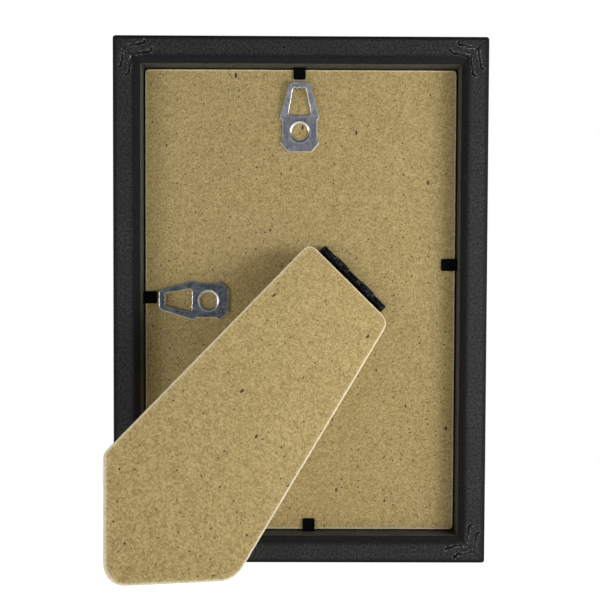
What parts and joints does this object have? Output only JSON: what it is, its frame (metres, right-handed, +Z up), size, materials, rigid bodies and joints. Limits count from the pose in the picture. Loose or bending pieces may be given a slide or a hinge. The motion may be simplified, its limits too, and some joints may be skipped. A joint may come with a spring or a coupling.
{
  "type": "picture frame",
  "caption": "Portrait picture frame with mitred black rails, glass, a hardboard back held by bend-over tabs, wall hangers and a hinged easel leg.",
  "frame": {"origin": "bottom centre of the standing frame, on the surface that it stands on", "axes": "+Z up, the picture faces -Y, the easel leg reaches towards +Y, +X to the right as seen from the front"},
  "size_m": [0.1232, 0.0732, 0.1707],
  "materials": {
    "moulding_wrap": "matte black wrap over wood, fine grain",
    "hardboard": "pressed wood fibre, matte, dark specks",
    "zinc_steel": "zinc plated, dull",
    "hinge_steel": "black lacquer, semi-gloss",
    "pin_steel": "blackened steel",
    "tab_steel": "flat black lacquer",
    "nail_steel": "dark steel",
    "glass": "clear float glass",
    "printed_card": "satin printed paper"
  },
  "bodies": {
    "frame": {"rail_top": "moulding_wrap", "rail_bottom": "moulding_wrap", "rail_left": "moulding_wrap", "rail_right": "moulding_wrap", "corner_v_nails": "nail_steel", "glass_pane": "glass", "picture_insert": "printed_card", "backboard": "hardboard", "hanger_top": "zinc_steel", "hanger_side": "zinc_steel", "hinge_board_leaf": "hinge_steel", "hinge_pin": "pin_steel", "retainer_root_top": "tab_steel", "retainer_root_bottom": "tab_steel", "retainer_root_left": "tab_steel", "retainer_root_right": "tab_steel"},
    "leg": {"easel_leg": "hardboard", "hinge_leg_leaf": "hinge_steel"},
    "tab_top": {"retainer_tab_top": "tab_steel"},
    "tab_bottom": {"retainer_tab_bottom": "tab_steel"},
    "tab_left": {"retainer_tab_left": "tab_steel"},
    "tab_right": {"retainer_tab_right": "tab_steel"}
  },
  "joints": [
    {"name": "leg_fold", "type": "hinge", "parent": "frame", "child": "leg", "pos_m": [-0.0166, -0.00315, 0.09294], "axis": [-0.7071, -0.1806, -0.6836], "range_deg": [0, 27.1]},
    {"name": "tab_top_bend", "type": "hinge", "parent": "frame", "child": "tab_top", "pos_m": [0.0005, 0.0133, 0.15981], "axis": [1, 0, 0], "range_deg": [0, 90]},
    {"name": "tab_bottom_bend", "type": "hinge", "parent": "frame", "child": "tab_bottom", "pos_m": [-0.0031, -0.02621, 0.01024], "axis": [-1, 0, 0], "range_deg": [0, 90]},
    {"name": "tab_left_bend", "type": "hinge", "parent": "frame", "child": "tab_left", "pos_m": [0.05215, -0.00617, 0.08608], "axis": [0, -0.2554, -0.9668], "range_deg": [0, 90]},
    {"name": "tab_right_bend", "type": "hinge", "parent": "frame", "child": "tab_right", "pos_m": [-0.05215, -0.00331, 0.09691], "axis": [0, 0.2554, 0.9668], "range_deg": [0, 90]}
  ]
}
